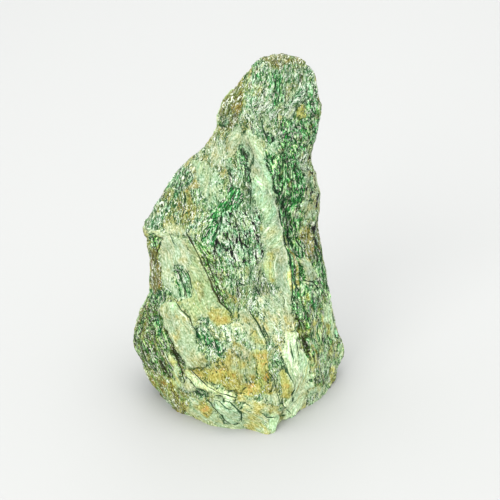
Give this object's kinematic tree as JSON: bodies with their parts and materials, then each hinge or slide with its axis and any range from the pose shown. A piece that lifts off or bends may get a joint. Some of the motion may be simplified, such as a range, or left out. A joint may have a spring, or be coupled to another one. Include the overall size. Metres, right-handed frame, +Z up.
{
  "type": "sawn fuchsite stone",
  "caption": "Natural green mica rock, a leaning layered fin that tapers to a rounded crown and stands on a flat sawn base.",
  "frame": {"origin": "middle of the stone's box, on its sawn base", "axes": "+Z up from the sawn base, the longest extent; +X to the right and +Y away from whoever looks at the front; metres"},
  "size_m": [0.0998, 0.0876, 0.1622],
  "materials": {
    "fuchsite": null
  },
  "bodies": {
    "root": {"stone": "fuchsite"}
  },
  "joints": []
}
